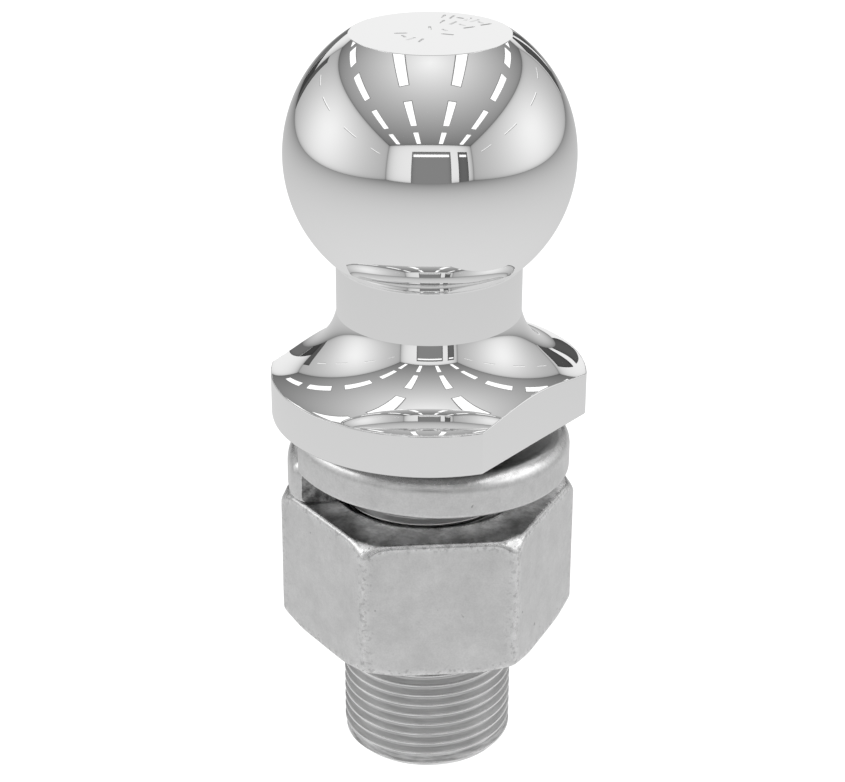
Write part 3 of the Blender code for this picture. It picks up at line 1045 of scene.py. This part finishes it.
def side_glow(y, z):
    away = np.hypot(y, (z - 0.33) * np.where(z > 0.33, 1.25, 0.85))
    edges = corner_shade(1.0 - z, z - ROOM_FLOOR, ROOM_FRONT + y, ROOM_BACK - y)
    return (0.36 + 0.53 * falloff(away, 0.9, 1.9)) * edges


def end_glow(x, z):
    edges = corner_shade(1.0 - z, z - ROOM_FLOOR, ROOM_SIDE - np.abs(x))
    fade = 1.0 - 0.45 * np.exp(-(ROOM_SIDE - np.abs(x)) / 0.22)
    return 0.80 * fade * edges


def back_glow(x, z):
    return 1.08 * end_glow(x, z)


def add_window(name, axis, wall, low, high, top, glass, material):
    """A dark window that reaches down to the floor, darkest along its frame."""
    def glow(u, v):
        inside = np.minimum(np.minimum(u - low, high - u), top - v)
        return glass * (1.0 - 0.5 * np.exp(-inside / 0.035))
    room_panel(name, plane(axis, wall), spaced(low, high, 25), spaced(ROOM_FLOOR, top, 25), glow,
               material)


def make_lamps(name, side, material):
    """Two rows of lamps in one half of the ceiling, each in a dark frame."""
    for near, far in LAMP_ROWS:
        for low, high in LAMP_SPANS:
            for kind, height, border, glow in LAMP_LAYERS:
                room_panel(f"{kind}_{name}_{near}_{low}", plane("z", height),
                           (side * (near - border), side * (far + border)),
                           (low - border, high + border), glow, material)


def make_room():
    """The bright room that the chrome mirrors, with its lamps, windows, blinds and strips."""
    material = glow_material()
    xs, zs = spaced(-ROOM_SIDE, ROOM_SIDE, 61), spaced(ROOM_FLOOR, 1.0, 41)
    ys = spaced(-ROOM_FRONT, ROOM_BACK, 91)
    room_panel("room_ceiling", plane("z", 1.0), xs, ys, level_glow(0.9, 0.8, 1.25), material)
    room_panel("room_floor", plane("z", ROOM_FLOOR), xs, ys, level_glow(0.70, 1.2, 1.35), material)
    room_panel("cellar_floor", plane("z", CELLAR), xs[[0, -1]], ys[[0, -1]], CELLAR_GLOW, material)
    for name, axis, wall, along, glow in (("left", "x", -ROOM_SIDE, ys, side_glow),
                                          ("right", "x", ROOM_SIDE, ys, side_glow),
                                          ("front", "y", -ROOM_FRONT, xs, end_glow),
                                          ("back", "y", ROOM_BACK, xs, back_glow)):
        room_panel(f"room_{name}", plane(axis, wall), along, zs, glow, material)
        room_panel(f"cellar_{name}", plane(axis, wall), along[[0, -1]], (CELLAR, ROOM_FLOOR),
                   CELLAR_GLOW, material)
        inside, nearer = (wall - math.copysign(gap, wall) for gap in WALL_GAPS)
        for low, high, top, glass in WINDOWS[name]:
            add_window(f"window_{name}_{low}", axis, inside, low, high, top, glass, material)
            if name == "front":
                room_panel(f"blind_{low}", plane(axis, nearer),
                           (low + BLIND_INSET, high - BLIND_INSET), BLIND_HEIGHTS,
                           BLIND_GLOW, material)
        for low, high in STRIPS.get(name, ()):
            height = STRIP_HEIGHT[name]
            for kind, bottom, top, glow in STRIP_LAYERS:
                room_panel(f"{kind}_{name}_{low}", plane(axis, inside), (low, high),
                           (height + bottom, height + top), glow, material)
    make_lamps("left", -1.0, material)
    make_lamps("right", 1.0, material)


def make_floor():
    """A plain white floor that takes no part in reflections."""
    mesh = bpy.data.meshes.new("studio_floor")
    sides = ((-1.0, -1.0), (1.0, -1.0), (1.0, 1.0), (-1.0, 1.0))
    mesh.from_pydata([(x * FLOOR_REACH, y * FLOOR_REACH, FLOOR_Z) for x, y in sides], [],
                     [(0, 1, 2, 3)])
    nodes = Nodes("pale_floor")
    matte = nodes.add("ShaderNodeBsdfDiffuse", {"Color": (FLOOR_TONE, FLOOR_TONE, FLOOR_TONE, 1.0)})
    both = nodes.add("ShaderNodeAddShader", {0: matte.outputs[0], 1: nodes.light(FLOOR_GLOW)})
    nodes.surface(both.outputs[0])
    mesh.materials.append(nodes.material)
    item = add_object("studio_floor", mesh)
    item.visible_glossy = False


def make_world():
    """Even white light all round, which the pieces don't mirror."""
    scene = bpy.context.scene
    world = bpy.data.worlds.new("studio_light")
    world.use_nodes = True
    background = world.node_tree.nodes["Background"]
    background.inputs["Color"].default_value = (1.0, 1.0, 1.0, 1.0)
    background.inputs["Strength"].default_value = WORLD_GLOW
    scene.world = world
    world.cycles_visibility.glossy = False
    scene.view_settings.view_transform = "Standard"
    scene.view_settings.look = "None"


def make_softboxes(lit):
    """Two soft lamps, one on each side, that light only the washer and the nut."""
    group = bpy.data.collections.new("softbox_lit")
    for item in lit:
        group.objects.link(item)
    for name, side in (("left", -1.0), ("right", 1.0)):
        lamp = bpy.data.lights.new(f"softbox_{name}", "AREA")
        lamp.shape = "RECTANGLE"
        lamp.size, lamp.size_y = SOFTBOX_SIZE
        lamp.energy = SOFTBOX_GLOW[name] * math.pi * lamp.size * lamp.size_y
        item = add_object(f"softbox_{name}", lamp)
        ahead = RIGHT * (side * math.sin(SOFTBOX_TURN)) - AWAY * math.cos(SOFTBOX_TURN)
        ahead = ahead * math.cos(SOFTBOX_RISE) + UP * math.sin(SOFTBOX_RISE)
        middle = UP * ((NUT_HIGH.z + SEAT_Z) / 2.0)
        item.matrix_world = (Matrix.Translation(middle + ahead * SOFTBOX_REACH)
                             @ ahead.to_track_quat("Z", "Y").to_matrix().to_4x4())
        item.visible_camera = False
        item.light_linking.receiver_collection = group


def make_camera():
    """A camera in front of the part, looking down on it at the photograph's angle."""
    distance, height, offset = 347.3 * MM, 231.96 * MM, -0.146 * MM
    pitch, yaw, roll = math.radians(24.86), math.radians(0.158), math.radians(0.218)
    focal_share = 2.501775      # focal length in widths of the picture
    data = bpy.data.cameras.new("studio_camera")
    data.sensor_width = 36.0
    data.lens = data.sensor_width * focal_share
    data.clip_start, data.clip_end = 0.01, 50.0
    camera = add_object("studio_camera", data)
    place = RIGHT * offset - AWAY * distance + UP * height
    camera.matrix_world = (Matrix.Translation(place) @ Matrix.Rotation(VIEW_TURN + yaw, 4, "Z")
                           @ Matrix.Rotation(math.pi / 2.0 - pitch, 4, "X")
                           @ Matrix.Rotation(roll, 4, "Z"))
    bpy.context.scene.camera = camera


# ---------------------------------------------------------------- scene

def main():
    forging = make_forging(chrome_material())
    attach(forging, "hitch_ball")
    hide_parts("hitch_ball")
    washer = make_washer(zinc_material("washer_zinc", tone=0.71, roughness=0.33, wear_gain=0.06,
                                       pitting=0.25, speck_start=0.765))
    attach(washer, "lock_washer")
    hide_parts("lock_washer")
    nut = make_nut(zinc_material("nut_zinc", tone=0.69, roughness=0.33, wear_gain=0.12,
                                 pitting=0.65, speck_start=0.775, face=NUT_HIGH.z))
    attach(nut, "hex_nut")
    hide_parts("hex_nut")
    make_world()
    make_floor()
    make_room()
    make_softboxes((washer, nut))
    make_camera()


main()
bpy.context.view_layer.update()
